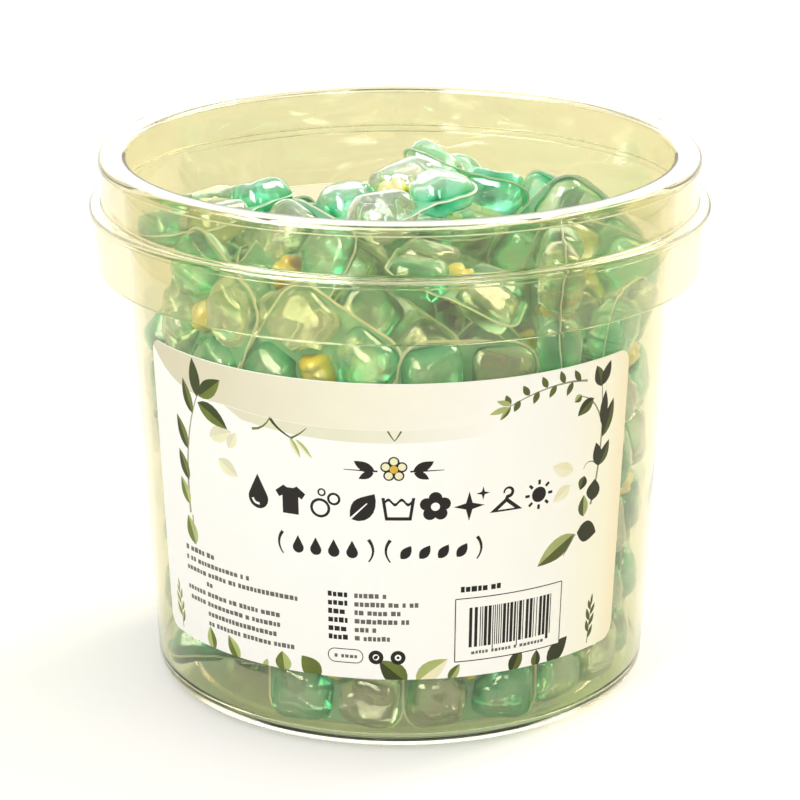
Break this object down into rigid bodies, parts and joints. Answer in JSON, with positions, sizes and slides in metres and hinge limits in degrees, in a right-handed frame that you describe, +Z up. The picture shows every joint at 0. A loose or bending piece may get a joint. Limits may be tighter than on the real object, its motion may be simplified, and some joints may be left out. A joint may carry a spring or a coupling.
{
  "type": "tub of laundry pods",
  "caption": "Open clear round plastic tub with a collar, ledge and skirt under its rim, heaped with square laundry pods, with a printed label round its front.",
  "frame": {"origin": "on the ground under the middle of the tub's base", "axes": "+Z up along the tub's axis, -Y out through the middle of the label, +X to the label's right as it is read"},
  "size_m": [0.18, 0.18, 0.1573],
  "materials": {
    "clear_plastic": "clear, moulded, polished",
    "printed_film": "satin printed film",
    "pod_film_and_gel": "glossy water-soluble film over gel"
  },
  "bodies": {
    "root": {"tub": "clear_plastic", "label": "printed_film", "pod_01": "pod_film_and_gel", "pod_02": "pod_film_and_gel", "pod_03": "pod_film_and_gel", "pod_04": "pod_film_and_gel", "pod_05": "pod_film_and_gel", "pod_06": "pod_film_and_gel", "pod_07": "pod_film_and_gel", "pod_08": "pod_film_and_gel", "pod_09": "pod_film_and_gel", "pod_10": "pod_film_and_gel", "pod_11": "pod_film_and_gel", "pod_12": "pod_film_and_gel", "pod_13": "pod_film_and_gel", "pod_14": "pod_film_and_gel", "pod_15": "pod_film_and_gel", "pod_16": "pod_film_and_gel", "pod_17": "pod_film_and_gel", "pod_18": "pod_film_and_gel", "pod_19": "pod_film_and_gel", "pod_20": "pod_film_and_gel", "pod_21": "pod_film_and_gel", "pod_22": "pod_film_and_gel", "pod_23": "pod_film_and_gel", "pod_24": "pod_film_and_gel", "pod_25": "pod_film_and_gel", "pod_26": "pod_film_and_gel", "pod_27": "pod_film_and_gel", "pod_28": "pod_film_and_gel", "pod_29": "pod_film_and_gel", "pod_30": "pod_film_and_gel", "pod_31": "pod_film_and_gel", "pod_32": "pod_film_and_gel", "pod_33": "pod_film_and_gel", "pod_34": "pod_film_and_gel", "pod_35": "pod_film_and_gel", "pod_36": "pod_film_and_gel", "pod_37": "pod_film_and_gel", "pod_38": "pod_film_and_gel", "pod_39": "pod_film_and_gel", "pod_40": "pod_film_and_gel", "pod_41": "pod_film_and_gel", "pod_42": "pod_film_and_gel", "pod_43": "pod_film_and_gel", "pod_44": "pod_film_and_gel", "pod_45": "pod_film_and_gel", "pod_46": "pod_film_and_gel", "pod_47": "pod_film_and_gel", "pod_48": "pod_film_and_gel", "pod_49": "pod_film_and_gel", "pod_50": "pod_film_and_gel", "pod_51": "pod_film_and_gel", "pod_52": "pod_film_and_gel", "pod_53": "pod_film_and_gel", "pod_54": "pod_film_and_gel", "pod_55": "pod_film_and_gel", "pod_56": "pod_film_and_gel", "pod_57": "pod_film_and_gel", "pods_inside": "pod_film_and_gel"}
  },
  "joints": []
}
